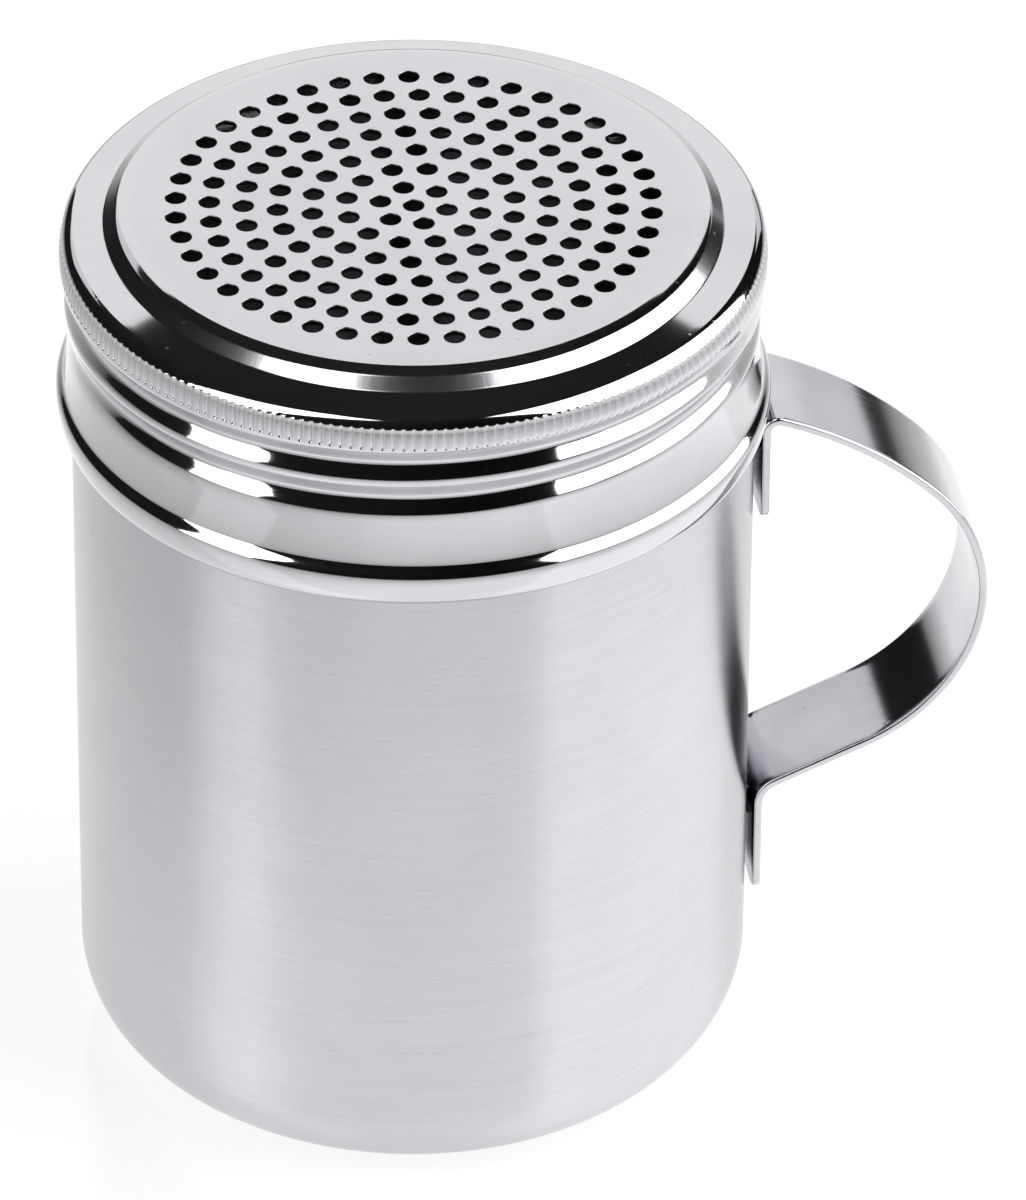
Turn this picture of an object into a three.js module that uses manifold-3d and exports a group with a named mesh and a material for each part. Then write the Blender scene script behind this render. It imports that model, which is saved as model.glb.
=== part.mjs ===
// A handled shaker for flour or sugar: a drawn steel can, a tall perforated screw lid and a strap handle.
// Millimetres, +Z up. The origin is on the can's axis in the plane it stands on. The handle is towards +X.
import * as THREE from "three";
import { mergeGeometries, mergeVertices } from "three/addons/utils/BufferGeometryUtils.js";
import Module from "manifold-3d";

// Overall sizes and the sheet that everything is pressed from
const overallHeight = 95;
const canRadius = 33.5;
const sheet = 0.5;
const seatGap = 0.3;

// Can: large round corner into a flat base, and a neck drawn in under the lid
const baseCornerRadius = 9;
const lidPlay = 0.45;
const neckDrawIn = 1.3;
const neckShoulderHeight = 1.8;
const neckShoulderBelowThread = 1.6;

// Lid top, from the skirt inwards: rounded shoulder, gently sloped ledge, steep cone, soft roll, flat panel
const rimWidth = 7.25;
const rollWidth = 1.7;
const rollDrop = 0.36;
const coneWidth = 1.25;
const stepDrop = 1.47;
const ledgeSlopeDegrees = 11;
const shoulderRadius = 1.7;

// Lid skirt: band for the flutes, rolled thread, plain band, rolled-out bead at the lower edge
const skirtHeight = 23.1;
const fluteBandHeight = 2.1;
const threadDepth = 0.95;
const threadHalfWidth = 1.4;
const threadPitch = 4.2;
const threadBelowFlutes = 2.04;
const threadStartDegrees = -5;
const threadEndDegrees = -515;
const threadRunOutDegrees = 35;
const beadProud = 0.55;
const beadRollRadius = 1.6;
const beadUpperDegrees = 35;
const beadLowerDegrees = -60;
const beadFlareHeight = 1.1;

// Perforation: a centre hole and rings of six, twelve, eighteen and so on, each ring turned by its own angle
const holeRadius = 1.05;
const holeBorder = 1.5;
const ringSpacing = 3.3;
const ringTurnDegrees = [0, -21, 10, 0, -5, 4, 0, -3];

// Handle: one flat strap bent in a single plane, with a flat foot at each end
const strapThickness = 0.8;
const strapWidth = 11;
const upperFootLength = 7;
const lowerFootLength = 6.5;
const footCornerRadius = 1.1;
const upperBendRadius = 2.05;
const upperBendDegrees = 85;
const crownRadius = 25;
const crownDegrees = 21;
const bowRadius = 16.4;
const bowDegrees = 74;
const palmRadius = 20.5;
const palmDegrees = 52;
const lowerBendRadius = 5;
const handleBelowLid = 0.4;

// Spot welds: flat nuggets on the line where a foot touches the wall
const weldRadius = 1.4;
const weldSpacing = 3.4;
const weldPlay = 0.02;

// Facets: how far an arc's facets may stray from it, and how many there are where no arc says it
const facetSag = 0.044;
const turnSegments = 44;
const holeSides = 8;
const weldSides = 12;
const footCornerFacets = 4;
const neckShoulderFacets = 2;
const rollFacets = 3;
const flareFacets = 3;
const threadRowStep = 0.85;

// How far a cutter reaches past the face that it cuts
const cutOverrun = 0.75;

// Radii of the lid, from its play on the can
const skirtRadius = canRadius + lidPlay + sheet;
const panelRadius = skirtRadius - rimWidth;
const beadRadius = skirtRadius + beadProud;
const beadCentreRadius = beadRadius - beadRollRadius;

// Heights of the lid's lower edge and of its ledge and shoulder
const lidBottom = overallHeight - skirtHeight;
const beadCentreHeight = lidBottom - beadRollRadius * Math.sin(degrees(beadLowerDegrees));
const ledgeSlope = Math.tan(degrees(ledgeSlopeDegrees));
const ledgeStartRadius = panelRadius + rollWidth + coneWidth;
const ledgeEndRadius = skirtRadius - shoulderRadius * (1 - Math.sin(degrees(ledgeSlopeDegrees)));
const ledgeEndHeight = ledgeHeight(ledgeEndRadius);
const shoulderHeight = ledgeEndHeight - shoulderRadius * Math.cos(degrees(ledgeSlopeDegrees));

// Heights of the rolled thread: its middle at the front, and its two limits
const threadFrontHeight = shoulderHeight - fluteBandHeight - threadBelowFlutes;
const threadTop = threadMiddle(threadStartDegrees) + threadHalfWidth;
const threadBottom = threadMiddle(threadEndDegrees) - threadHalfWidth;

const footCentre = canRadius + seatGap + strapThickness / 2;

const wasm = await Module();
wasm.setup();

function degrees(angle) {
  return THREE.MathUtils.degToRad(angle);
}

// The height of the ledge's outer face at a radius
function ledgeHeight(radius) {
  return overallHeight - stepDrop - (radius - ledgeStartRadius) * ledgeSlope;
}

// The height of the thread's middle at an angle round the axis: right-handed, so it drops as the angle falls
function threadMiddle(angle) {
  return threadFrontHeight + (threadPitch * (angle + 90)) / 360;
}

// How many facets an arc of so many degrees takes to stay within the sag
function facetsOf(radius, turn) {
  return Math.ceil(degrees(Math.abs(turn)) / (2 * Math.acos(1 - facetSag / radius)));
}

// Points on an arc about (radius, height), from one angle to another, both ends included
function arc(centreRadius, centreHeight, size, from, to) {
  const steps = facetsOf(size, to - from);
  const points = [];
  for (let i = 0; i <= steps; i += 1) {
    const angle = degrees(from + ((to - from) * i) / steps);
    const x = centreRadius + size * Math.cos(angle);
    points.push(new THREE.Vector2(x, centreHeight + size * Math.sin(angle)));
  }
  return points;
}

// The inner face of a sheet whose outer face is the given profile, both starting on the axis
function offsetProfile(outer, thickness) {
  return outer.map((point, i) => {
    const before = outer[Math.max(i - 1, 0)];
    const after = outer[Math.min(i + 1, outer.length - 1)];
    const along = after.clone().sub(before).normalize();
    const toNext = after.clone().sub(point);
    const bend = i === 0 || i === outer.length - 1 ? 1 : along.dot(toNext.normalize());
    const inward = new THREE.Vector2(along.y, -along.x).multiplyScalar(thickness / bend);
    const moved = point.clone().add(inward);
    return i === 0 ? moved.setX(0) : moved;
  });
}

// A turned body: the profile is (radius, height), anticlockwise seen with the axis on the left
function turned(profile) {
  return new THREE.LatheGeometry(profile, turnSegments).rotateX(Math.PI / 2);
}

// A closed geometry as a solid for joining and cutting: positions only, without collapsed triangles
function toSolid(geometry) {
  const bare = geometry.clone();
  bare.deleteAttribute("normal");
  bare.deleteAttribute("uv");
  const merged = mergeVertices(bare, 1e-4);
  const index = merged.index.array;
  const kept = [];
  for (let i = 0; i < index.length; i += 3) {
    const [a, b, c] = index.slice(i, i + 3);
    if (a !== b && b !== c && c !== a) kept.push(a, b, c);
  }
  const vertProperties = merged.attributes.position.array;
  return new wasm.Manifold(new wasm.Mesh({ numProp: 3, vertProperties, triVerts: new Uint32Array(kept) }));
}

function toGeometry(solid) {
  const made = solid.getMesh();
  const geometry = new THREE.BufferGeometry();
  geometry.setAttribute("position", new THREE.BufferAttribute(Float32Array.from(made.vertProperties), 3));
  geometry.setIndex(new THREE.BufferAttribute(Uint32Array.from(made.triVerts), 1));
  geometry.computeVertexNormals();
  return geometry;
}

// How deep the rolled thread is at an angle round the axis and a height. It runs out at both ends.
function threadDepthAt(angle, height) {
  let depth = 0;
  for (let along = angle; along > threadEndDegrees; along -= 360) {
    if (along >= threadStartDegrees) continue;
    const across = Math.abs(height - threadMiddle(along)) / threadHalfWidth;
    if (across >= 1) continue;
    const toEnd = Math.min(along - threadEndDegrees, threadStartDegrees - along);
    const fade = THREE.MathUtils.smoothstep(toEnd, 0, threadRunOutDegrees);
    depth = Math.max(depth, threadDepth * fade * 0.5 * (1 + Math.cos(Math.PI * across)));
  }
  return depth;
}

// The can: one sheet from the middle of the base to the rim of the neck, which stops under the lid's ledge
function canProfile() {
  const neckRadius = canRadius - neckDrawIn;
  const shoulderBottom = threadBottom - neckShoulderBelowThread - neckShoulderHeight;
  const neckShoulder = [];
  for (let i = 0; i <= neckShoulderFacets; i += 1) {
    const share = i / neckShoulderFacets;
    const inward = neckDrawIn * THREE.MathUtils.smoothstep(share, 0, 1);
    neckShoulder.push(new THREE.Vector2(canRadius - inward, shoulderBottom + neckShoulderHeight * share));
  }
  const rim = ledgeHeight(neckRadius) - sheet / Math.cos(degrees(ledgeSlopeDegrees)) - seatGap;
  const outer = [
    new THREE.Vector2(0, 0),
    ...arc(canRadius - baseCornerRadius, baseCornerRadius, baseCornerRadius, -90, 0),
    ...neckShoulder,
    new THREE.Vector2(neckRadius, rim),
  ];
  return [...outer, ...offsetProfile(outer, -sheet).reverse()];
}

// The lid's outer face, from the middle of the panel to the lower edge of the bead
function lidOuterProfile() {
  const roll = new THREE.QuadraticBezierCurve(
    new THREE.Vector2(panelRadius, overallHeight),
    new THREE.Vector2(panelRadius + rollWidth / 2, overallHeight),
    new THREE.Vector2(panelRadius + rollWidth, overallHeight - rollDrop),
  ).getPoints(rollFacets);
  const coneFoot = new THREE.Vector2(ledgeStartRadius, ledgeHeight(ledgeStartRadius));
  const shoulderCentre = skirtRadius - shoulderRadius;
  const shoulder = arc(shoulderCentre, shoulderHeight, shoulderRadius, 90 - ledgeSlopeDegrees, 0);
  const threadRows = [];
  const rowCount = Math.round((threadTop - threadBottom) / threadRowStep);
  for (let i = 0; i <= rowCount; i += 1) {
    const height = threadTop + ((threadBottom - threadTop) * i) / rowCount;
    threadRows.push(new THREE.Vector2(skirtRadius, height));
  }
  const bead = [
    ...arc(beadCentreRadius, beadCentreHeight, beadRollRadius, beadUpperDegrees, 0),
    ...arc(beadCentreRadius, beadCentreHeight, beadRollRadius, 0, beadLowerDegrees).slice(1),
  ];
  const flareCorner = bead[0].y + (bead[0].x - skirtRadius) / Math.tan(degrees(beadUpperDegrees));
  const flare = new THREE.QuadraticBezierCurve(
    new THREE.Vector2(skirtRadius, bead[0].y + beadFlareHeight),
    new THREE.Vector2(skirtRadius, flareCorner),
    bead[0],
  ).getPoints(flareFacets);
  const top = [new THREE.Vector2(0, overallHeight), ...roll, coneFoot, ...shoulder];
  return [...top, ...threadRows, ...flare, ...bead.slice(1)];
}

// The rolled thread presses both faces of the skirt inwards by the same depth
function rollThread(geometry) {
  const position = geometry.attributes.position;
  for (let i = 0; i < position.count; i += 1) {
    const x = position.getX(i);
    const y = position.getY(i);
    const depth = threadDepthAt(THREE.MathUtils.radToDeg(Math.atan2(y, x)), position.getZ(i));
    if (depth === 0) continue;
    const share = 1 - depth / Math.hypot(x, y);
    position.setXY(i, x * share, y * share);
  }
}

// The punches of the holes: as many rings as leave the panel its plain border
function perforation() {
  const punches = [];
  ringTurnDegrees.forEach((turn, ring) => {
    const distance = ring * ringSpacing;
    if (distance + holeRadius + holeBorder > panelRadius) return;
    const count = Math.max(1, 6 * ring);
    for (let i = 0; i < count; i += 1) {
      const angle = degrees(turn + (360 * i) / count);
      const punch = new THREE.CylinderGeometry(holeRadius, holeRadius, sheet + 2 * cutOverrun, holeSides);
      punch.rotateX(Math.PI / 2);
      punch.translate(distance * Math.cos(angle), distance * Math.sin(angle), overallHeight - sheet / 2);
      punches.push(punch);
    }
  });
  return mergeGeometries(punches);
}

function lidGeometry() {
  const outer = lidOuterProfile();
  const shell = turned([...outer, ...offsetProfile(outer, sheet).reverse()].reverse());
  rollThread(shell);
  return toGeometry(toSolid(shell).subtract(toSolid(perforation())));
}

// A walk in the handle's plane: (x, z) points along straight runs and arcs, with the heading in degrees
class StrapWalk {
  constructor(x, z, heading) {
    this.heading = heading;
    this.points = [new THREE.Vector2(x, z)];
  }

  get end() {
    return this.points[this.points.length - 1];
  }

  straight(length) {
    const angle = degrees(this.heading);
    const step = new THREE.Vector2(Math.cos(angle), Math.sin(angle)).multiplyScalar(length);
    this.points.push(this.end.clone().add(step));
  }

  // A positive turn bends to the right
  bend(radius, turn) {
    const steps = facetsOf(radius, turn);
    const side = turn > 0 ? 1 : -1;
    const centre = this.end.clone();
    centre.x += side * radius * Math.sin(degrees(this.heading));
    centre.y -= side * radius * Math.cos(degrees(this.heading));
    for (let i = 1; i <= steps; i += 1) {
      const angle = degrees(this.heading - (turn * i) / steps);
      const x = centre.x - side * radius * Math.sin(angle);
      this.points.push(new THREE.Vector2(x, centre.y + side * radius * Math.cos(angle)));
    }
    this.heading -= turn;
  }
}

// The strap's middle line. Its upper bend clears the lid's bead, and its two feet are in line.
function strapLine() {
  const reach = beadRollRadius + handleBelowLid + upperBendRadius + strapThickness / 2;
  const sideways = footCentre + upperBendRadius - beadCentreRadius;
  const bendHeight = beadCentreHeight - Math.sqrt(reach ** 2 - sideways ** 2);
  const walk = new StrapWalk(footCentre, bendHeight - upperFootLength, 90);
  walk.straight(upperFootLength);
  walk.bend(upperBendRadius, upperBendDegrees);
  walk.bend(crownRadius, crownDegrees);
  walk.bend(bowRadius, bowDegrees);
  walk.bend(palmRadius, palmDegrees);
  const heading = degrees(walk.heading);
  const bendReach = lowerBendRadius * (1 + Math.sin(heading));
  walk.straight((footCentre + bendReach - walk.end.x) / Math.cos(heading));
  walk.bend(lowerBendRadius, walk.heading + 90);
  walk.straight(lowerFootLength);
  return walk.points;
}

// What is cut off the two corners of a foot that ends at a height
function footCorners(footEnd) {
  const depth = strapThickness + 2 * cutOverrun;
  return [1, -1].map((side) => {
    const edge = (side * strapWidth) / 2;
    const inner = edge - side * footCornerRadius;
    const outer = edge + side * cutOverrun;
    const corner = new THREE.Shape();
    for (let i = 0; i <= footCornerFacets; i += 1) {
      const angle = (Math.PI / 2) * (i / footCornerFacets);
      const across = inner + side * footCornerRadius * Math.sin(angle);
      const height = footEnd + footCornerRadius * (1 - Math.cos(angle));
      if (i === 0) corner.moveTo(across, height);
      else corner.lineTo(across, height);
    }
    corner.lineTo(outer, footEnd + footCornerRadius);
    corner.lineTo(outer, footEnd - cutOverrun);
    corner.lineTo(inner, footEnd - cutOverrun);
    const cutter = new THREE.ExtrudeGeometry(corner, { depth, bevelEnabled: false });
    cutter.rotateX(Math.PI / 2).rotateZ(Math.PI / 2);
    return cutter.translate(footCentre - depth / 2, 0, 0);
  });
}

// The strap seen from the side: its middle line thickened by half the strap each way, with rounded feet
function strapGeometry(line) {
  const sides = [1, -1].map((side) =>
    line.map((point, i) => {
      const before = line[Math.max(i - 1, 0)];
      const after = line[Math.min(i + 1, line.length - 1)];
      const along = after.clone().sub(before).normalize();
      return new THREE.Vector2(-along.y, along.x).multiplyScalar((side * strapThickness) / 2).add(point);
    }),
  );
  const outline = new THREE.Shape([...sides[0], ...sides[1].reverse()]);
  const strap = new THREE.ExtrudeGeometry(outline, { depth: strapWidth, bevelEnabled: false });
  strap.translate(0, 0, -strapWidth / 2).rotateX(Math.PI / 2);
  const corners = [...footCorners(line[0].y), ...footCorners(line[line.length - 1].y)];
  return toGeometry(toSolid(strap).subtract(toSolid(mergeGeometries(corners))));
}

const satinSteel = new THREE.MeshStandardMaterial({ color: 0xc9c9cf, roughness: 0.38, metalness: 1 });
const polishedSteel = new THREE.MeshStandardMaterial({ color: 0xdcdce2, roughness: 0.12, metalness: 1 });
const strapSteel = new THREE.MeshStandardMaterial({ color: 0xc4c4ca, roughness: 0.25, metalness: 1 });
const weldSteel = new THREE.MeshStandardMaterial({ color: 0x9a9aa0, roughness: 0.6, metalness: 1 });

const shaker = new THREE.Group();

function add(name, geometry, material) {
  const mesh = new THREE.Mesh(geometry, material);
  mesh.name = name;
  shaker.add(mesh);
  return mesh;
}

add("body_can", turned(canProfile()), satinSteel);
add("screw_lid", lidGeometry(), polishedSteel);

const line = strapLine();
add("handle_strap", strapGeometry(line), strapSteel);

const feet = {
  upper: line[0].y + upperFootLength / 2,
  lower: line[line.length - 1].y + lowerFootLength / 2,
};
for (const [foot, height] of Object.entries(feet)) {
  [1, -1].forEach((side, i) => {
    const nugget = new THREE.CylinderGeometry(weldRadius, weldRadius, seatGap - 2 * weldPlay, weldSides);
    const weld = add(`spot_weld_${foot}_${i + 1}`, nugget.rotateZ(Math.PI / 2), weldSteel);
    weld.position.set(canRadius + seatGap / 2, 0, height + (side * weldSpacing) / 2);
  });
}

export default shaker;
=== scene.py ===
import math

import bmesh
import bpy
import numpy as np
from mathutils import Matrix, Vector
from mathutils.geometry import delaunay_2d_cdt


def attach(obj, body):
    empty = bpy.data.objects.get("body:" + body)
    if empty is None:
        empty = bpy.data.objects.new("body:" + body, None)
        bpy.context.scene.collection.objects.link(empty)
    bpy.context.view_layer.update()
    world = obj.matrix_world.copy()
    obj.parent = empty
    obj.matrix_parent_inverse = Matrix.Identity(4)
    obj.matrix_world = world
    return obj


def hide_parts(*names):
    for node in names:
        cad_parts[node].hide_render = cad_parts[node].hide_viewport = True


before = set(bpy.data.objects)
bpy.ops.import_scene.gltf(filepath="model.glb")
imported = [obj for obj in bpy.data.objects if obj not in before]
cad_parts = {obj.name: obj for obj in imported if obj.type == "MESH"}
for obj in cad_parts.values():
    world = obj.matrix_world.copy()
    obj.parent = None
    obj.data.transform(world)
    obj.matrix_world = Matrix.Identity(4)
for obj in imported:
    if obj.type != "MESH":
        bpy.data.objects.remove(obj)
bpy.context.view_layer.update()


# The can: one deep-drawn sheet of stainless steel, with a large round corner into a flat base and a neck
# drawn in under the lid. The neck carries a rolled thread. The wall has a satin grain that runs round it.

MM = 0.001
SHEET = 0.5
CAN_RADIUS = 33.5
BASE_CORNER = 9.0
NECK_RADIUS = 32.2
NECK_FOOT = 77.39
NECK_START = 79.19
NECK_RIM = 92.3
THREAD_FRONT = 87.8
THREAD_PITCH = 4.2
THREAD_FADE = 40
NECK_THREAD_DEPTH = 0.5
NECK_THREAD_HALF = 1.2
NECK_THREAD_SPAN = (-20, -450)
NECK_THREAD_LEVELS = (84.0, 91.4)
CAN_SIDES = 360


def curve_of(centre, size, start, end, steps):
    """Points on an arc in the (radius, height) plane, both ends included."""
    angles = np.radians(np.linspace(start, end, steps + 1))
    return [(centre[0] + size * math.cos(a), centre[1] + size * math.sin(a)) for a in angles]


def run_of(start, end, steps):
    """Points on a straight run, without its first point."""
    shares = np.linspace(0, 1, steps + 1)[1:]
    return [(start[0] + (end[0] - start[0]) * s, start[1] + (end[1] - start[1]) * s) for s in shares]


def other_face(profile, thickness):
    """The sheet's other face, to the left of the walk along the profile."""
    points = np.array(profile, float)
    along = np.gradient(points, axis=0)
    along /= np.maximum(np.hypot(along[:, 0], along[:, 1]), 1e-9)[:, None]
    return points + thickness * np.c_[-along[:, 1], along[:, 0]]


def smooth_share(value, low, high):
    """0 below low, 1 above high and an even ease between them."""
    share = np.clip((np.asarray(value, float) - low) / (high - low), 0, 1)
    return share * share * (3 - 2 * share)


def thread_at(angle, height, span, lift, half_below, half_above):
    """From 0 to 1, how far into a right-handed rolled thread a point of the sheet lies. The span is the angle
    at which it starts and the one at which it ends, and it fades out at both."""
    start, end = span
    depth = np.zeros(np.broadcast(angle, height).shape)
    for turn in range(3):
        along = angle - 360 * turn
        centre = THREAD_FRONT + lift + THREAD_PITCH * (along + 90) / 360
        half_width = np.where(height > centre, half_above, half_below)
        across = np.clip(np.abs(height - centre) / half_width, 0, 1)
        flank = np.interp(across, (0, 0.08, 0.16, 0.84, 0.92, 1), (0, 0.025, 0.1, 0.9, 0.975, 1))
        to_end = np.minimum(along - end, start - along)
        fade = smooth_share(to_end, 0, THREAD_FADE)
        depth = np.maximum(depth, fade * (1 - flank))
    return depth


def skin(rings, name):
    """A smooth mesh over rings of points in millimetres. A ring of one point closes an end, and a ring may
    have some whole number of times as many points as the next one, or as the one before."""
    points, faces, first = [], [], []
    for ring in rings:
        first.append(len(points))
        points.extend(ring)
    for k in range(len(rings) - 1):
        a, b, na, nb = first[k], first[k + 1], len(rings[k]), len(rings[k + 1])
        if na == 1:
            faces += [(a, b + (i + 1) % nb, b + i) for i in range(nb)]
        elif nb == 1:
            faces += [(b, a + i, a + (i + 1) % na) for i in range(na)]
        elif na == nb:
            faces += [(a + i, a + (i + 1) % na, b + (i + 1) % nb, b + i) for i in range(na)]
        else:
            few, many, share = (a, b, nb // na) if nb > na else (b, a, na // nb)
            fan = []
            for i in range(min(na, nb)):
                here, there, turn = few + i, few + (i + 1) % min(na, nb), share // 2
                rim = [many + (share * i + m) % max(na, nb) for m in range(share + 1)]
                fan += [(here, rim[m + 1], rim[m]) for m in range(turn)]
                fan += [(here, there, rim[turn])]
                fan += [(there, rim[m + 1], rim[m]) for m in range(turn, share)]
            faces += fan if nb > na else [face[::-1] for face in fan]
    return mesh_of(points, faces, name)


def mesh_of(points, faces, name):
    """A smooth closed mesh in metres whose faces look out."""
    mesh = bpy.data.meshes.new(name)
    mesh.from_pydata([(x * MM, y * MM, z * MM) for x, y, z in points], [], faces)
    body = bmesh.new()
    body.from_mesh(mesh)
    bmesh.ops.recalc_face_normals(body, faces=body.faces)
    if body.calc_volume(signed=True) < 0:
        bmesh.ops.reverse_faces(body, faces=body.faces)
    body.to_mesh(mesh)
    body.free()
    mesh.polygons.foreach_set("use_smooth", [True] * len(mesh.polygons))
    mesh.update()
    return mesh


def piece_of(mesh, name, material):
    """An object that shows a mesh with one material."""
    made = bpy.data.objects.new(name, mesh)
    bpy.context.scene.collection.objects.link(made)
    mesh.materials.append(material)
    return made


def put(tree, kind, inputs=None, **settings):
    """A node with its settings and inputs: a socket is linked and anything else is a plain value."""
    made = tree.nodes.new(kind)
    for key, value in settings.items():
        setattr(made, key, value)
    for key, value in (inputs or {}).items():
        if isinstance(value, bpy.types.NodeSocket):
            tree.links.new(value, made.inputs[key])
        else:
            made.inputs[key].default_value = value
    return made


def sums(tree, kind, first, second=0.0, third=0.0):
    """One step of arithmetic on values."""
    return put(tree, "ShaderNodeMath", {0: first, 1: second, 2: third}, operation=kind).outputs[0]


def between(tree, value, low, high, out_low=0.0, out_high=1.0):
    """A value carried from one range to another with an even ease, and held at the ends."""
    inputs = {"Value": value, "From Min": low, "From Max": high, "To Min": out_low, "To Max": out_high}
    return put(tree, "ShaderNodeMapRange", inputs, interpolation_type="SMOOTHSTEP").outputs[0]


def effect(name, inputs, outputs):
    """An empty shader node group with its sockets."""
    group = bpy.data.node_groups.new(name, "ShaderNodeTree")
    for way, sockets in (("INPUT", inputs), ("OUTPUT", outputs)):
        for label, kind in sockets:
            group.interface.new_socket(label, in_out=way, socket_type=kind)
    return group, group.nodes.new("NodeGroupInput"), group.nodes.new("NodeGroupOutput")


# Grain that runs round the axis: on walls it follows the height and on flat faces the radius.
grain_round, given, made = effect(
    "grain_round",
    [("Position", "NodeSocketVector"), ("Fineness", "NodeSocketFloat"), ("Sweep", "NodeSocketFloat")],
    [("Lines", "NodeSocketFloat"), ("Clouds", "NodeSocketFloat")],
)
where = put(grain_round, "ShaderNodeSeparateXYZ", {0: given.outputs["Position"]})
flat = put(grain_round, "ShaderNodeCombineXYZ", {0: where.outputs[0], 1: where.outputs[1]})
from_axis = put(grain_round, "ShaderNodeVectorMath", {0: flat.outputs[0]}, operation="LENGTH")
across = sums(grain_round, "ADD", where.outputs[2], from_axis.outputs["Value"])
drawn_out = put(
    grain_round,
    "ShaderNodeCombineXYZ",
    {
        0: sums(grain_round, "MULTIPLY", where.outputs[0], given.outputs["Sweep"]),
        1: sums(grain_round, "MULTIPLY", where.outputs[1], given.outputs["Sweep"]),
        2: sums(grain_round, "MULTIPLY", across, given.outputs["Fineness"]),
    },
).outputs[0]
fine = put(
    grain_round,
    "ShaderNodeTexNoise",
    {"Vector": drawn_out, "Scale": 1.0, "Detail": 4.0, "Roughness": 0.65},
)
cloud = put(
    grain_round,
    "ShaderNodeTexNoise",
    {"Vector": given.outputs["Position"], "Scale": 90.0, "Detail": 4.0, "Roughness": 0.6},
)
grain_round.links.new(fine.outputs[0], made.inputs["Lines"])
grain_round.links.new(cloud.outputs[0], made.inputs["Clouds"])

# Marks of use: short hairline scratches that cross the grain, and small round pits.
use_marks, given, made = effect(
    "use_marks",
    [("Position", "NodeSocketVector"), ("Scratches", "NodeSocketFloat"), ("Pits", "NodeSocketFloat")],
    [("Mask", "NodeSocketFloat"), ("Height", "NodeSocketFloat")],
)
lines = []
for turned_by, seed in ((0.5, 3.0), (-0.9, 17.0)):
    spun = put(
        use_marks,
        "ShaderNodeMapping",
        {
            "Vector": given.outputs["Position"],
            "Location": (seed, seed, seed),
            "Rotation": (turned_by, turned_by, seed),
        },
    ).outputs[0]
    long_ways = put(
        use_marks, "ShaderNodeVectorMath", {0: spun, 1: (900.0, 70.0, 240.0)}, operation="MULTIPLY"
    ).outputs[0]
    stroke = put(use_marks, "ShaderNodeTexNoise", {"Vector": long_ways, "Scale": 1.0, "Detail": 0.0})
    middle = sums(use_marks, "ABSOLUTE", sums(use_marks, "SUBTRACT", stroke.outputs[0], 0.5))
    hair = between(use_marks, middle, 0.0, 0.011, 1.0, 0.0)
    patch = put(use_marks, "ShaderNodeTexNoise", {"Vector": spun, "Scale": 170.0, "Detail": 1.0}).outputs[0]
    lines.append(sums(use_marks, "MULTIPLY", hair, between(use_marks, patch, 0.62, 0.72)))
scratches = sums(use_marks, "MULTIPLY", sums(use_marks, "MAXIMUM", *lines), given.outputs["Scratches"])
dots = put(use_marks, "ShaderNodeTexVoronoi", {"Vector": given.outputs["Position"], "Scale": 420.0})
chosen = put(use_marks, "ShaderNodeSeparateColor", {0: dots.outputs["Color"]}).outputs[0]
small = between(use_marks, dots.outputs["Distance"], 0.05, 0.12, 1.0, 0.0)
pits = sums(use_marks, "MULTIPLY", small, between(use_marks, chosen, 0.55, 0.6))
pits = sums(use_marks, "MULTIPLY", pits, given.outputs["Pits"])
marked = sums(use_marks, "MAXIMUM", scratches, pits)
use_marks.links.new(marked, made.inputs["Mask"])
use_marks.links.new(sums(use_marks, "MULTIPLY", marked, -1.0), made.inputs["Height"])


def new_steel(name, anisotropy, turn):
    """A metal material, its shader and its object-space position."""
    material = bpy.data.materials.new(name)
    material.use_nodes = True
    tree = material.node_tree
    shader = tree.nodes["Principled BSDF"]
    shader.inputs["Metallic"].default_value = 1.0
    shader.inputs["Anisotropic"].default_value = anisotropy
    shader.inputs["Anisotropic Rotation"].default_value = turn
    position = put(tree, "ShaderNodeTexCoord").outputs["Object"]
    return material, tree, shader, position


def placed(tree, group, inputs):
    """A copy of a shared effect in a material."""
    made = tree.nodes.new("ShaderNodeGroup")
    made.node_tree = group
    for key, value in inputs.items():
        if isinstance(value, bpy.types.NodeSocket):
            tree.links.new(value, made.inputs[key])
        else:
            made.inputs[key].default_value = value
    return made


def colour_between(tree, share, low, high):
    """A colour that goes from one to the other with a share."""
    mix = put(tree, "ShaderNodeMix", {0: share}, data_type="RGBA")
    mix.inputs[6].default_value = (*low, 1.0)
    mix.inputs[7].default_value = (*high, 1.0)
    return mix.outputs[2]


satin_steel, tree, shader, position = new_steel("satin_steel", 1.0, 0.25)
grain = placed(tree, grain_round, {"Position": position, "Fineness": 2600.0, "Sweep": 45.0})
marks = placed(tree, use_marks, {"Position": position, "Scratches": 0.25, "Pits": 0.6})
half_lines = sums(tree, "MULTIPLY", grain.outputs["Lines"], 0.5)
tone = sums(tree, "MULTIPLY_ADD", grain.outputs["Clouds"], 0.5, half_lines)
half_marks = sums(tree, "MULTIPLY", marks.outputs["Mask"], 0.5)
tone = sums(tree, "SUBTRACT", between(tree, tone, 0.3, 0.7), half_marks)
colour = colour_between(tree, tone, (0.60, 0.595, 0.625), (0.66, 0.655, 0.685))
tree.links.new(colour, shader.inputs["Base Color"])
rough = sums(tree, "MULTIPLY_ADD", grain.outputs["Lines"], 0.04, 0.175)
rough = sums(tree, "MULTIPLY_ADD", grain.outputs["Clouds"], 0.03, rough)
tree.links.new(rough, shader.inputs["Roughness"])
height = sums(tree, "MULTIPLY_ADD", marks.outputs["Height"], 0.8, grain.outputs["Lines"])
bump = put(tree, "ShaderNodeBump", {"Height": height, "Distance": 0.000012, "Strength": 0.55})
tree.links.new(bump.outputs[0], shader.inputs["Normal"])

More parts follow.
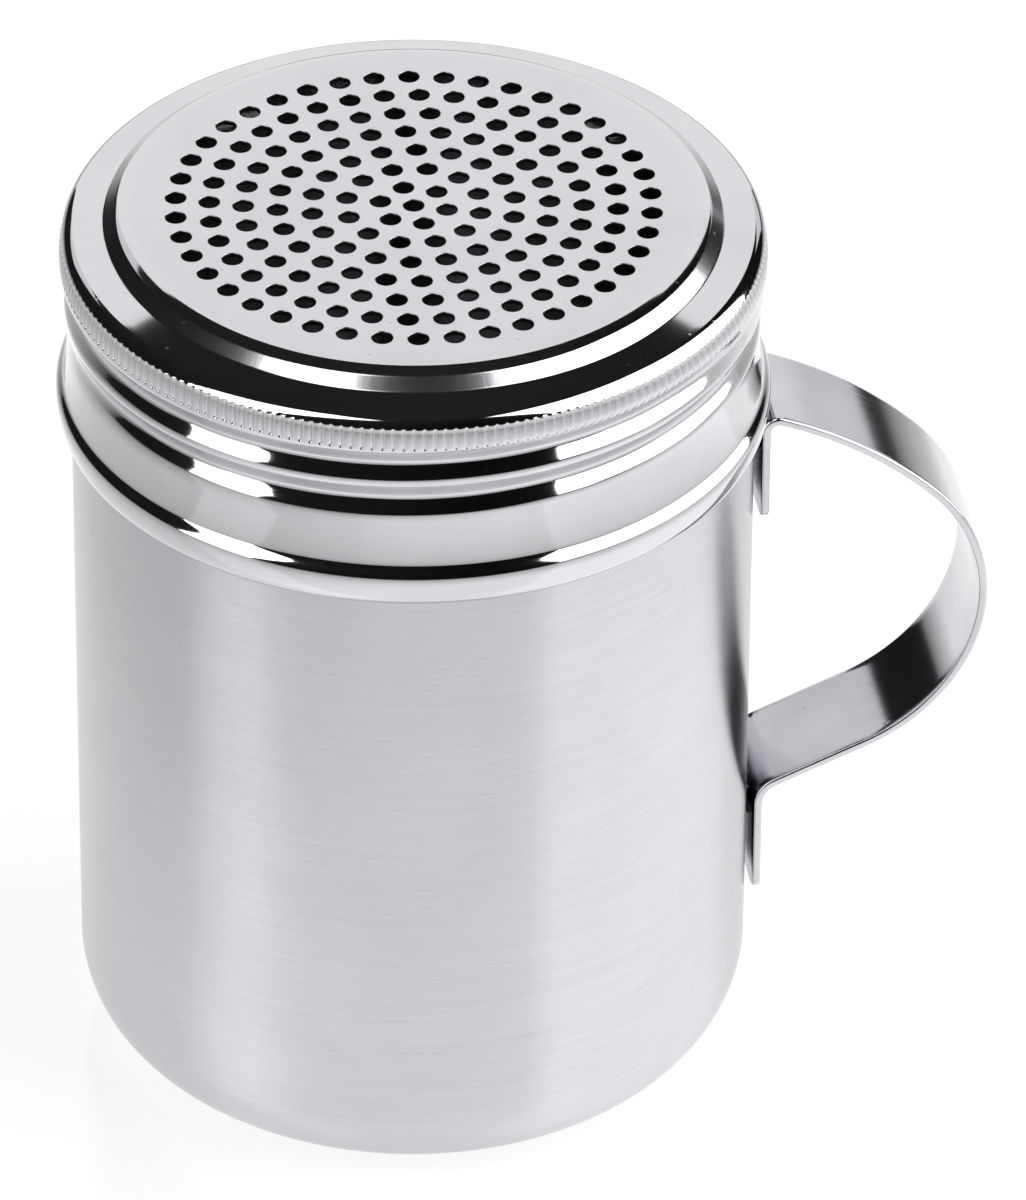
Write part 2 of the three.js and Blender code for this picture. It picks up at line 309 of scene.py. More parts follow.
corner_middle = (CAN_RADIUS - BASE_CORNER, BASE_CORNER)
outside = [(0.001, 0.0)] + run_of((0, 0), (corner_middle[0], 0), 10)
outside += curve_of(corner_middle, BASE_CORNER, -90, 0, 26)[1:]
outside += run_of((CAN_RADIUS, BASE_CORNER), (CAN_RADIUS, NECK_FOOT - 0.4), 24)
for share in np.linspace(0, 1, 13):
    inward = (CAN_RADIUS - NECK_RADIUS) * float(smooth_share(share, 0, 1))
    outside.append((CAN_RADIUS - inward, NECK_FOOT + (NECK_START - NECK_FOOT) * share))
outside += run_of(outside[-1], (NECK_RADIUS, NECK_THREAD_LEVELS[0]), 6)
outside += run_of(outside[-1], (NECK_RADIUS, NECK_THREAD_LEVELS[1]), 34)
outside += run_of(outside[-1], (NECK_RADIUS, NECK_RIM - SHEET / 2), 3)
inside = other_face(outside, SHEET)
rim = curve_of((NECK_RADIUS - SHEET / 2, NECK_RIM - SHEET / 2), SHEET / 2, 0, 180, 6)[1:-1]
can_profile = outside + rim + [tuple(p) for p in inside[::-1]]

can_angles = np.linspace(0, 360, CAN_SIDES, endpoint=False)
unwrapped = np.where(can_angles > 0, can_angles - 360, can_angles)
turn = np.radians(can_angles)
can_rings = []
for radius, level in can_profile:
    if radius < 0.01:
        can_rings.append([(0.0, 0.0, level)])
        continue
    out = np.full(CAN_SIDES, radius)
    if level > NECK_START:
        halves = (NECK_THREAD_HALF, NECK_THREAD_HALF)
        ridge = thread_at(unwrapped, level, NECK_THREAD_SPAN, THREAD_PITCH / 2, *halves)
        out += NECK_THREAD_DEPTH * ridge
    can_rings.append(list(zip(out * np.cos(turn), out * np.sin(turn), np.full(CAN_SIDES, level))))
can_mesh = skin(can_rings, "drawn_can")
drawn_can = piece_of(can_mesh, "drawn_can", satin_steel)
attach(drawn_can, "can")
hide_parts("body_can")


# The handle: a strip of the same steel, cut to length, tumbled so that its edges are just rounded, and bent
# in one plane with a flat foot at each end. Each foot shows the two round dents of its spot welds.

STRAP_WIDTH = 12.2
STRAP_THICKNESS = 0.8
STRAP_EDGE = 0.24
FOOT_LINE = 34.2
FOOT_TOP = 68.9
UPPER_FOOT = 10.2
LOWER_FOOT = 10.5
LOWER_BEND = 2.8
BENDS = ((1.2, 110.5, 18), (43.0, 24.7, 24), (17.92, 59.2, 34), (19.15, 52.1, 32))
WELD_HEIGHTS = {"upper": (68.07, 64.67), "lower": (23.35, 19.95)}
DENT_RADIUS = 1.45
DENT_DEPTH = 0.13
DENT_LIP = 0.03
STRIP_CORNER = 1.1

walk = [(FOOT_LINE, FOOT_TOP - UPPER_FOOT)]
heading = 90.0


def go_straight(length, steps):
    """A flat run of the strip."""
    angle, (x, z) = math.radians(heading), walk[-1]
    walk.extend(run_of((x, z), (x + length * math.cos(angle), z + length * math.sin(angle)), steps))


def go_round(radius, turn, steps):
    """A bend of the strip. A positive turn goes to the right."""
    global heading
    side = 1 if turn > 0 else -1
    start, first = walk[-1], math.radians(heading)
    middle = (start[0] + side * radius * math.sin(first), start[1] - side * radius * math.cos(first))
    for i in range(1, steps + 1):
        angle = math.radians(heading - turn * i / steps)
        x, z = side * radius * math.sin(angle), side * radius * math.cos(angle)
        walk.append((middle[0] - x, middle[1] + z))
    heading -= turn


# After the upper foot come the corner, the crown, the outer bow and the palm's side.
go_straight(UPPER_FOOT, 42)
for radius, turned, count in BENDS:
    go_round(radius, turned, count)
bend_reach = LOWER_BEND * (1 + math.sin(math.radians(heading)))
go_straight((FOOT_LINE + bend_reach - walk[-1][0]) / math.cos(math.radians(heading)), 14)
go_round(LOWER_BEND, heading + 90, 16)
go_straight(LOWER_FOOT, 42)

line = np.array(walk)
along = np.gradient(line, axis=0)
along /= np.hypot(along[:, 0], along[:, 1])[:, None]
outward = np.c_[-along[:, 1], along[:, 0]]
steps = np.r_[0, np.cumsum(np.hypot(*np.diff(line, axis=0).T))]
to_end = np.minimum(steps, steps[-1] - steps)

section = []
half_width, half_thick = STRAP_WIDTH / 2, STRAP_THICKNESS / 2
for side, count in ((1, 44), (-1, 14)):
    for across in np.linspace(-(half_width - STRAP_EDGE), half_width - STRAP_EDGE, count + 1) * side:
        section.append((across, half_thick * side))
    flat_half, edge = half_width - STRAP_EDGE, half_thick - STRAP_EDGE
    for angle in np.radians((22.5, 45, 67.5)):
        out, up = STRAP_EDGE * math.sin(angle), STRAP_EDGE * math.cos(angle)
        section.append((side * (flat_half + out), side * (edge + up)))
    section += [(side * half_width, side * edge), (side * half_width, -side * edge)]
    for angle in np.radians((67.5, 45, 22.5)):
        out, up = STRAP_EDGE * math.sin(angle), STRAP_EDGE * math.cos(angle)
        section.append((side * (flat_half + out), -side * (edge + up)))
section = np.array(section)

strap_rings = []
for point, normal, left in zip(line, outward, to_end):
    into_corner = max(STRIP_CORNER - left, 0)
    narrowed = STRIP_CORNER - math.sqrt(max(STRIP_CORNER**2 - into_corner**2, 0))
    across = section[:, 0] * (half_width - narrowed) / half_width
    proud = section[:, 1].copy()
    if abs(normal[0]) > 0.5 and point[0] < FOOT_LINE + 0.65:
        for level in WELD_HEIGHTS["upper"] + WELD_HEIGHTS["lower"]:
            far = np.hypot(across, point[1] - level)
            dent = 1 - smooth_share(far, DENT_RADIUS * 0.55, DENT_RADIUS)
            lip = np.exp(-(((far - DENT_RADIUS * 1.12) / 0.22) ** 2))
            away = -1 if normal[0] < 0 else 1
            seen = section[:, 1] * away > half_thick * 0.9
            proud += np.where(seen, away * (DENT_LIP * lip - DENT_DEPTH * dent), 0)
    ring = point[None, :] + proud[:, None] * normal[None, :]
    strap_rings.append(list(zip(ring[:, 0], across, ring[:, 1])))
strap_ends = [[tuple(np.mean(strap_rings[i], axis=0))] for i in (0, -1)]
strap_rings = strap_ends[:1] + strap_rings + strap_ends[1:]

# Grain along the strip: it follows the width, so it is drawn out along the handle's plane.
grain_along, given, made = effect(
    "grain_along",
    [("Position", "NodeSocketVector"), ("Fineness", "NodeSocketFloat"), ("Sweep", "NodeSocketFloat")],
    [("Lines", "NodeSocketFloat"), ("Clouds", "NodeSocketFloat")],
)
where = put(grain_along, "ShaderNodeSeparateXYZ", {0: given.outputs["Position"]})
drawn_out = put(
    grain_along,
    "ShaderNodeCombineXYZ",
    {
        0: sums(grain_along, "MULTIPLY", where.outputs[0], given.outputs["Sweep"]),
        1: sums(grain_along, "MULTIPLY", where.outputs[1], given.outputs["Fineness"]),
        2: sums(grain_along, "MULTIPLY", where.outputs[2], given.outputs["Sweep"]),
    },
).outputs[0]
fine = put(
    grain_along,
    "ShaderNodeTexNoise",
    {"Vector": drawn_out, "Scale": 1.0, "Detail": 4.0, "Roughness": 0.6},
)
cloud = put(
    grain_along,
    "ShaderNodeTexNoise",
    {"Vector": given.outputs["Position"], "Scale": 130.0, "Detail": 3.0},
)
grain_along.links.new(fine.outputs[0], made.inputs["Lines"])
grain_along.links.new(cloud.outputs[0], made.inputs["Clouds"])

strap_steel, tree, shader, position = new_steel("strap_steel", 0.0, 0.0)
grain = placed(tree, grain_along, {"Position": position, "Fineness": 2200.0, "Sweep": 60.0})
marks = placed(tree, use_marks, {"Position": position, "Scratches": 0.3, "Pits": 0.7})
dulled = sums(tree, "MULTIPLY", marks.outputs["Mask"], 0.7)
tone = sums(tree, "SUBTRACT", between(tree, grain.outputs["Clouds"], 0.3, 0.7), dulled)
colour = colour_between(tree, tone, (0.60, 0.595, 0.625), (0.67, 0.665, 0.695))
tree.links.new(colour, shader.inputs["Base Color"])
rough = sums(tree, "MULTIPLY_ADD", grain.outputs["Lines"], 0.06, 0.08)
rough = sums(tree, "MULTIPLY_ADD", marks.outputs["Mask"], 0.15, rough)
tree.links.new(rough, shader.inputs["Roughness"])
half_lines = sums(tree, "MULTIPLY", grain.outputs["Lines"], 0.5)
height = sums(tree, "MULTIPLY_ADD", marks.outputs["Height"], 1.0, half_lines)
bump = put(tree, "ShaderNodeBump", {"Height": height, "Distance": 0.000010, "Strength": 0.5})
tree.links.new(bump.outputs[0], shader.inputs["Normal"])

strap_mesh = skin(strap_rings, "bent_strap")
bent_strap = piece_of(strap_mesh, "bent_strap", strap_steel)
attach(bent_strap, "can")
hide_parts("handle_strap")


# The spot welds: four nuggets of melted sheet between the feet and the wall, waisted where the metal was
# squeezed, dull and a little blued by the heat.

WELD_RADIUS = 1.4
WELD_START = 33.52
WELD_LENGTH = 0.26
WELD_SIDES = 28

weld_steel, tree, shader, position = new_steel("weld_steel", 0.0, 0.0)
stain = put(tree, "ShaderNodeTexNoise", {"Vector": position, "Scale": 900.0, "Detail": 3.0}).outputs[0]
colour = colour_between(tree, between(tree, stain, 0.35, 0.65), (0.24, 0.23, 0.27), (0.42, 0.38, 0.34))
tree.links.new(colour, shader.inputs["Base Color"])
tree.links.new(sums(tree, "MULTIPLY_ADD", stain, 0.3, 0.4), shader.inputs["Roughness"])
bump = put(tree, "ShaderNodeBump", {"Height": stain, "Distance": 0.00004, "Strength": 0.6})
tree.links.new(bump.outputs[0], shader.inputs["Normal"])

for foot, levels in WELD_HEIGHTS.items():
    for number, level in enumerate(levels, 1):
        rings = [[(WELD_START, 0.0, level)]]
        for share in np.linspace(0, 1, 7):
            waist = WELD_RADIUS * (1 - 0.16 * math.sin(math.pi * share))
            turn = np.radians(np.linspace(0, 360, WELD_SIDES, endpoint=False))
            wobble = waist * (1 + 0.02 * np.sin(3 * turn + number) + 0.012 * np.sin(7 * turn))
            out = np.full(WELD_SIDES, WELD_START + WELD_LENGTH * share)
            rings.append(list(zip(out, wobble * np.cos(turn), level + wobble * np.sin(turn))))
        rings.append([(WELD_START + WELD_LENGTH, 0.0, level)])
        nugget_mesh = skin(rings, f"weld_nugget_{foot}_{number}")
        nugget = piece_of(nugget_mesh, f"weld_nugget_{foot}_{number}", weld_steel)
        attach(nugget, "can")
        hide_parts(f"spot_weld_{foot}_{number}")


# The screw lid: one pressed and polished sheet. The flat top is perforated, its border drops over a step to
# a sloped ledge and a round shoulder, and the skirt has a fluted band, a rolled thread and a rolled-out bead.

LID_TOP = 95.0
PANEL_EDGE = 24.9
STEP_FOOT = 30.3
LEDGE_START = 93.5
SHOULDER_MIDDLE = (32.58, 91.29)
SHOULDER = 1.7
FLUTE_FOOT = 89.7
FLUTES = 216
FLUTE_DEPTH = 0.16
FLUTE_PHASES = (0.0, 0.09, 0.2, 0.5, 0.8, 0.91)
FLUTE_DEPTHS = (1.0, 0.62, 0.0, -0.15, 0.0, 0.62)
THREAD_DEPTH = 0.92
THREAD_SPAN = (-5, -540)
THREAD_BELOW = 1.85
THREAD_ABOVE = 2.15
THREAD_TURN = -8.5
BEAD_RADIUS = 35.0
BEAD_LEVEL = 74.6
LID_FOOT = 71.9
SKIRT_TOP = 91.8
HOLE_RADIUS = 1.05
HOLE_ROLL = 0.04
HOLE_SIDES = 20
RING_SPACING = 3.3
RING_TURNS = (0, -21, 10, 0, -5, 4, 0, -3)

# The tilt of the panel's border, the step and the ledge's start at each radius, in degrees below flat.
step_tilts = (
    (24.9, 0.0),
    (26.4, 1.0),
    (27.5, 2.5),
    (27.8, 12.0),
    (28.5, 18.0),
    (28.83, 22.0),
    (28.93, 42.0),
    (30.03, 42.0),
    (30.18, 13.0),
    (30.3, 11.0),
)
radii = np.r_[np.linspace(PANEL_EDGE, 27.3, 5), 27.5, 27.65, 27.8, 28.1, 28.5, 28.75, 28.83, 28.88]
radii = np.r_[radii, 28.93, 29.0, 29.5, 29.96, 30.03, 30.08, 30.13, 30.18, STEP_FOOT]
slopes = np.tan(np.radians(np.interp(radii, *zip(*step_tilts))))
drops = np.r_[0, np.cumsum(np.diff(radii) * (slopes[1:] + slopes[:-1]) / 2)]
drops *= (LID_TOP - LEDGE_START) / drops[-1]
lid_top = list(zip(radii, LID_TOP - drops))
shoulder = curve_of(SHOULDER_MIDDLE, SHOULDER, 79, 31, 8)
lid_top += run_of(lid_top[-1], shoulder[0], 5) + shoulder[1:]
fluted = curve_of(SHOULDER_MIDDLE, SHOULDER, 27, 17.5, 2)

# The skirt's tilt from upright at each height. It is 0 at the bead's widest place, and above 0 it faces up.
skirt_tilts = (
    (LID_FOOT, -50.0),
    (72.2, -38.0),
    (72.6, -25.0),
    (73.2, -12.0),
    (73.9, -6.0),
    (BEAD_LEVEL, 0.0),
    (74.9, 7.0),
    (75.3, 16.0),
    (75.45, 30.0),
    (75.65, 38.0),
    (75.85, 41.0),
    (76.05, 37.0),
    (76.2, 27.0),
    (76.3, 16.0),
    (76.6, 10.0),
    (77.2, 8.0),
    (78.5, 5.0),
    (80.0, 2.5),
    (81.6, 0.0),
    (82.5, -4.9),
    (88.5, -4.9),
    (89.6, 0.0),
    (90.1, 0.0),
    (SKIRT_TOP, 17.5),
)
heights = np.r_[SKIRT_TOP, 91.5, 91.1, 90.7, 90.35, 90.1, 89.95, 89.86, 89.78, 89.7, 89.6]
fluted_rows = len(heights)
heights = np.r_[heights, np.linspace(89.35, 81.8, 27), 81.2, 80.2, 79.2, 78.4, 77.7, 77.2, 76.9, 76.6]
heights = np.r_[heights, 76.4, 76.25, 76.1, 75.95, 75.8, 75.65, 75.5, 75.35, 75.2, 75.05, 74.9, 74.75]
heights = np.r_[heights, BEAD_LEVEL, 74.3, 73.9, 73.5, 73.2, 72.9, 72.6, 72.4, 72.2, 72.05, LID_FOOT]
fine_heights = np.linspace(LID_FOOT, SKIRT_TOP, 1991)
slopes = np.tan(np.radians(np.interp(fine_heights, *zip(*skirt_tilts))))
widths = np.r_[0, np.cumsum((slopes[1:] + slopes[:-1]) / 2 * np.diff(fine_heights))]
widths = BEAD_RADIUS + np.interp(BEAD_LEVEL, fine_heights, widths) - np.interp(heights, fine_heights, widths)
skirt_profile = list(zip(widths, heights))
fluted = fluted[:-1] + skirt_profile[:fluted_rows]
lid_side = skirt_profile[fluted_rows:]
whole_outside = lid_top + fluted + lid_side
whole_inside = other_face(whole_outside, -SHEET)
edge_middle = (np.array(whole_outside[-1]) + whole_inside[-1]) / 2
edge_way = math.degrees(math.atan2(*(np.array(whole_outside[-1]) - edge_middle)[::-1]))
lid_edge = curve_of(edge_middle, SHEET / 2, edge_way, edge_way - 180, 4)[1:-1]

fine_angles = (np.arange(FLUTES)[:, None] + np.array(FLUTE_PHASES)[None, :]).ravel() * 360 / FLUTES
coarse_angles = fine_angles[::3]
inner_angles = coarse_angles[::2]


def lid_ring(radius, level, angles, pressed):
    """A ring of the lid with the rolled thread and the flutes pressed in where they reach."""
    unwrapped = np.where(angles > THREAD_TURN, angles - 360, angles) - THREAD_TURN
    depth = np.zeros(len(angles))
    if pressed:
        depth += THREAD_DEPTH * thread_at(unwrapped, level, THREAD_SPAN, 0, THREAD_BELOW, THREAD_ABOVE)
    if len(angles) == len(fine_angles):
        groove = np.tile(FLUTE_DEPTHS, FLUTES)
        reach = 1 - float(smooth_share(level, 91.75, 92.15))
        foot = float(smooth_share(level, FLUTE_FOOT, FLUTE_FOOT + 0.14))
        dot = 1 + 0.35 * math.exp(-(((level - FLUTE_FOOT - 0.2) / 0.12) ** 2))
        depth += FLUTE_DEPTH * groove * reach * foot * dot
    turn, out = np.radians(angles), radius - depth
    return list(zip(out * np.cos(turn), out * np.sin(turn), np.full(len(angles), level)))


outer_rings = [lid_ring(r, z, coarse_angles, False) for r, z in lid_top]
outer_rings += [lid_ring(r, z, fine_angles, z < 90.5) for r, z in fluted]
outer_rings += [lid_ring(r, z, coarse_angles, z > 76) for r, z in lid_side]
outer_rings += [lid_ring(r, z, coarse_angles, False) for r, z in lid_edge]
inner_rings = [lid_ring(r, z, inner_angles, 76 < z < 90.5) for r, z in whole_inside[::-1]]
inner_rings = inner_rings[:1] + inner_rings[1:-1:2] + inner_rings[-1:]
lid_mesh = skin(outer_rings + inner_rings, "lid_wall")

hole_middles = []
for ring, turn in enumerate(RING_TURNS):
    count = max(1, 6 * ring)
    for i in range(count):
        angle = math.radians(turn + 360 * i / count)
        hole_middles.append((ring * RING_SPACING * math.cos(angle), ring * RING_SPACING * math.sin(angle)))

hole_turn = np.radians(np.linspace(0, 360, HOLE_SIDES, endpoint=False))
hole_rows = [(HOLE_RADIUS + HOLE_ROLL + out, LID_TOP) for out in (0.09, 0.02)]
for steep in np.radians((45, 90)):
    away, down = HOLE_ROLL * (1 - math.sin(steep)), HOLE_ROLL * (1 - math.cos(steep))
    hole_rows.append((HOLE_RADIUS + away, LID_TOP - down))
hole_rows.append((HOLE_RADIUS, LID_TOP - SHEET + 0.04))
hole_rows += [(HOLE_RADIUS + out, LID_TOP - SHEET) for out in (0.05, 0.13)]


def panel_faces(rim_points, hole_radius):
    """Triangles of the flat panel between its rim and its holes, and the flat points that they join."""
    flat_points = [Vector(p[:2]) for p in rim_points]
    loops = [list(range(len(flat_points)))]
    for x, y in hole_middles:
        start = len(flat_points)
        for t in hole_turn:
            flat_points.append(Vector((x + hole_radius * math.cos(t), y + hole_radius * math.sin(t))))
        loops.append(list(range(start, start + HOLE_SIDES)))
    edges = [(loop[i], loop[(i + 1) % len(loop)]) for loop in loops for i in range(len(loop))]
    result = delaunay_2d_cdt(flat_points, edges, [], 1, 1e-6)
    order = [source[0] for source in result[3]]
    middles = np.array(hole_middles)
    kept = []
    for face in result[2]:
        middle = np.mean([result[0][i] for i in face], axis=0)
        inside_rim = np.hypot(*middle) < np.hypot(*flat_points[0])
        if inside_rim and np.min(np.hypot(*(middles - middle).T)) > hole_radius * 0.985:
            kept.append([order[i] for i in face])
    return flat_points, kept


top_rim = [tuple(v.co / MM) for v in lid_mesh.vertices[: len(coarse_angles)]]
low_rim = [tuple(v.co / MM) for v in lid_mesh.vertices[-len(inner_angles) :]]
points = [tuple(v.co / MM) for v in lid_mesh.vertices]
faces = [tuple(p.vertices) for p in lid_mesh.polygons]
hole_starts = []
for rim_points, rim_start, (hole_radius, level), flip in (
    (top_rim, 0, hole_rows[0], False),
    (low_rim, len(points) - len(low_rim), hole_rows[-1], True),
):
    flat_points, triangles = panel_faces(rim_points, hole_radius)
    extra = len(points)
    points += [(p[0], p[1], level) for p in flat_points[len(rim_points) :]]
    hole_starts.append(extra)
    for face in triangles:
        moved = [i + rim_start if i < len(rim_points) else i - len(rim_points) + extra for i in face]
        faces.append(tuple(moved[::-1] if flip else moved))
for number, (x, y) in enumerate(hole_middles):
    starts = [hole_starts[0] + number * HOLE_SIDES]
    for radius, level in hole_rows[1:-1]:
        starts.append(len(points))
        points += [(x + radius * math.cos(t), y + radius * math.sin(t), level) for t in hole_turn]
    starts.append(hole_starts[1] + number * HOLE_SIDES)
    for a, b in zip(starts[:-1], starts[1:]):
        for i in range(HOLE_SIDES):
            j = (i + 1) % HOLE_SIDES
            faces.append((a + i, a + j, b + j, b + i)[::-1])
whole_lid = mesh_of(points, faces, "pressed_lid")

polished_steel, tree, shader, position = new_steel("polished_steel", 0.0, 0.0)
where = put(tree, "ShaderNodeSeparateXYZ", {0: position})
flat = put(tree, "ShaderNodeCombineXYZ", {0: where.outputs[0], 1: where.outputs[1]})
from_axis = put(tree, "ShaderNodeVectorMath", {0: flat.outputs[0]}, operation="LENGTH").outputs["Value"]
grain = placed(tree, grain_round, {"Position": position, "Fineness": 1800.0, "Sweep": 110.0})
marks = placed(tree, use_marks, {"Position": position, "Scratches": 0.15, "Pits": 0.5})
top_side = between(tree, where.outputs[2], 0.0928, 0.0931)
on_panel = sums(tree, "MULTIPLY", between(tree, from_axis, 0.0270, 0.0277, 1.0, 0.0), top_side)
on_step = between(tree, from_axis, 0.0300, 0.0302, 1.0, 0.0)
on_step = sums(tree, "MULTIPLY", between(tree, from_axis, 0.0287, 0.0290), on_step)
on_step = sums(tree, "MULTIPLY", on_step, top_side)
dulled = sums(tree, "MULTIPLY", marks.outputs["Mask"], 0.4)
tone = sums(tree, "SUBTRACT", between(tree, grain.outputs["Clouds"], 0.3, 0.7), dulled)
bright = colour_between(tree, tone, (0.665, 0.66, 0.688), (0.705, 0.70, 0.728))
# The holes' walls get a near-black colour, which is painted shade inside the holes, and a higher roughness.
shaded_hole_walls = between(tree, where.outputs[2], 0.09495, 0.09499, 1.0, 0.0)
shaded_hole_walls = sums(tree, "MULTIPLY", between(tree, where.outputs[2], 0.09452, 0.09454), shaded_hole_walls)
shaded_hole_walls = sums(tree, "MULTIPLY", shaded_hole_walls, between(tree, from_axis, 0.0262, 0.0264, 1.0, 0.0))
shade = put(tree, "ShaderNodeMix", {0: shaded_hole_walls, 6: bright, 7: (0.06, 0.06, 0.064, 1.0)}, data_type="RGBA")
tree.links.new(shade.outputs[2], shader.inputs["Base Color"])
rough = sums(tree, "MULTIPLY_ADD", grain.outputs["Clouds"], 0.03, 0.045)
rough = sums(tree, "MULTIPLY_ADD", on_panel, 0.10, rough)
rough = sums(tree, "MULTIPLY_ADD", on_step, 0.11, rough)
rough = sums(tree, "MULTIPLY_ADD", shaded_hole_walls, 0.35, rough)
rough = sums(tree, "MULTIPLY_ADD", marks.outputs["Mask"], 0.2, rough)
tree.links.new(rough, shader.inputs["Roughness"])
bearing = sums(tree, "ARCTAN2", where.outputs[1], where.outputs[0])
round_share, out_share = sums(tree, "MULTIPLY", bearing, 46.0), sums(tree, "MULTIPLY", from_axis, 420.0)
rays = put(tree, "ShaderNodeCombineXYZ", {0: round_share, 1: out_share}).outputs[0]
streak = put(
    tree, "ShaderNodeTexNoise", {"Vector": rays, "Scale": 1.0, "Detail": 3.0}, noise_dimensions="2D"
).outputs[0]
fine_lines = sums(tree, "MULTIPLY", grain.outputs["Lines"], 0.15)
height = sums(tree, "MULTIPLY_ADD", sums(tree, "MULTIPLY", streak, on_step), 0.8, fine_lines)
height = sums(tree, "MULTIPLY_ADD", marks.outputs["Height"], 1.2, height)
bump = put(tree, "ShaderNodeBump", {"Height": height, "Distance": 0.000008, "Strength": 0.6})
tree.links.new(bump.outputs[0], shader.inputs["Normal"])

pressed_lid = piece_of(whole_lid, "pressed_lid", polished_steel)
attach(pressed_lid, "lid")
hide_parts("screw_lid")


# The studio: a white floor and backdrop, one narrow soft box at the left front and a wide one at the right.
# Black cards close the room overhead and on the camera's side, with two grey wings beside the backdrop, as
# polished metal is lit. All of it is turned about the can's axis with the camera.

FLOOR_RADIUS = 2.1
FLOOR_SIDES = 96
CARD_RADIUS = 2.2
LAMP_LEVEL = 2.9
VIEW_TURN = -8.5

white_floor = bpy.data.materials.new("white_floor")
white_floor.use_nodes = True
tree = white_floor.node_tree
tree.nodes.clear()
seen = put(tree, "ShaderNodeLightPath")
shows = sums(tree, "MAXIMUM", seen.outputs["Is Camera Ray"], seen.outputs["Is Glossy Ray"])
shows = sums(tree, "MAXIMUM", shows, seen.outputs["Is Transmission Ray"])
lit = put(tree, "ShaderNodeBsdfDiffuse", {"Color": (0.24, 0.24, 0.241, 1.0)})
plain = put(tree, "ShaderNodeBsdfDiffuse", {"Color": (0.8, 0.8, 0.803, 1.0)})
# The floor's glow, seen by the camera and in reflections, falls off with distance from a point beside the
# can. This is a painted pool of light, brightest near the can.
here = put(tree, "ShaderNodeTexCoord").outputs["Object"]
here = put(tree, "ShaderNodeVectorMath", {0: here, 1: (1.0, 0.5, 1.0)}, operation="MULTIPLY")
far = put(
    tree, "ShaderNodeVectorMath", {0: here.outputs["Vector"], 1: (0.03, 0.035, 0.0)}, operation="DISTANCE"
).outputs["Value"]
painted_light_pool = sums(tree, "POWER", sums(tree, "DIVIDE", 0.1, sums(tree, "MAXIMUM", far, 0.1)), 0.82)
painted_light_pool = sums(tree, "MULTIPLY", painted_light_pool, 0.8)
glow = put(tree, "ShaderNodeEmission", {"Color": (1.0, 1.0, 1.0, 1.0), "Strength": painted_light_pool})
sheen = put(tree, "ShaderNodeBsdfGlossy", {"Color": (0.045, 0.045, 0.045, 1.0), "Roughness": 0.1})
white = put(tree, "ShaderNodeAddShader", {0: lit.outputs[0], 1: glow.outputs[0]})
white = put(tree, "ShaderNodeAddShader", {0: white.outputs[0], 1: sheen.outputs[0]})
by_ray = put(tree, "ShaderNodeMixShader", {0: shows, 1: plain.outputs[0], 2: white.outputs[0]})
clear = put(tree, "ShaderNodeBsdfTransparent")
behind = put(tree, "ShaderNodeNewGeometry").outputs["Backfacing"]
by_side = put(tree, "ShaderNodeMixShader", {0: behind, 1: by_ray.outputs[0], 2: clear.outputs[0]})
put(tree, "ShaderNodeOutputMaterial", {"Surface": by_side.outputs[0]})
turn = np.linspace(0, 2 * math.pi, FLOOR_SIDES, endpoint=False)
points = [(0, 0, 0)] + [(FLOOR_RADIUS * math.cos(t), FLOOR_RADIUS * math.sin(t), 0) for t in turn]
floor_mesh = bpy.data.meshes.new("floor")
floor_mesh.from_pydata(points, [], [(0, i + 1, (i + 1) % FLOOR_SIDES + 1) for i in range(FLOOR_SIDES)])
floor = piece_of(floor_mesh, "floor", white_floor)
floor.rotation_euler.z = math.radians(VIEW_TURN)

black_card = bpy.data.materials.new("black_card")
black_card.use_nodes = True
shader = black_card.node_tree.nodes["Principled BSDF"]
shader.inputs["Base Color"].default_value = (0.012, 0.012, 0.0125, 1.0)
shader.inputs["Roughness"].default_value = 0.9
grey_wing = bpy.data.materials.new("grey_wing")
grey_wing.use_nodes = True
shader = grey_wing.node_tree.nodes["Principled BSDF"]
shader.inputs["Base Color"].default_value = (0.05, 0.05, 0.052, 1.0)
shader.inputs["Emission Color"].default_value = (1.0, 1.0, 1.03, 1.0)
shader.inputs["Emission Strength"].default_value = 0.74

# The backdrop's opening and the wings, as bearings and elevations in degrees.
BACKDROP = (65.0, 115.0, 45.5)
WINGS = ((55.0, 65.0, 5.0, 25.0), (115.0, 130.0, 25.0, 40.0))
card_faces, wing_numbers = [], []
bearings = np.arange(0, 360, 5.0)
levels = np.unique(np.r_[-3.0, 5.0, np.arange(10, 86, 5.0), BACKDROP[2]])
card_points = []
for level in np.radians(levels):
    for bearing in np.radians(bearings):
        across, up = CARD_RADIUS * math.cos(level), CARD_RADIUS * math.sin(level)
        card_points.append((across * math.cos(bearing), across * math.sin(bearing), up))
count = len(bearings)
for row in range(len(levels) - 1):
    for column in range(count):
        middle = bearings[column] + 2.5
        if BACKDROP[0] < middle < BACKDROP[1] and levels[row + 1] <= BACKDROP[2]:
            continue
        for low, high, foot, head in WINGS:
            if low < middle < high and levels[row] >= foot and levels[row + 1] <= head:
                wing_numbers.append(len(card_faces))
        a, b = row * count + column, row * count + (column + 1) % count
        card_faces.append((a, a + count, b + count, b))
card_points.append((0, 0, CARD_RADIUS))
last = (len(levels) - 1) * count
card_faces += [(last + i, len(card_points) - 1, last + (i + 1) % count) for i in range(count)]
card_mesh = bpy.data.meshes.new("black_cards")
card_mesh.from_pydata(card_points, [], card_faces)
cards = piece_of(card_mesh, "black_cards", black_card)
cards.visible_camera = False
card_mesh.materials.append(grey_wing)
for number in wing_numbers:
    card_mesh.polygons[number].material_index = 1
cards.rotation_euler.z = math.radians(VIEW_TURN)


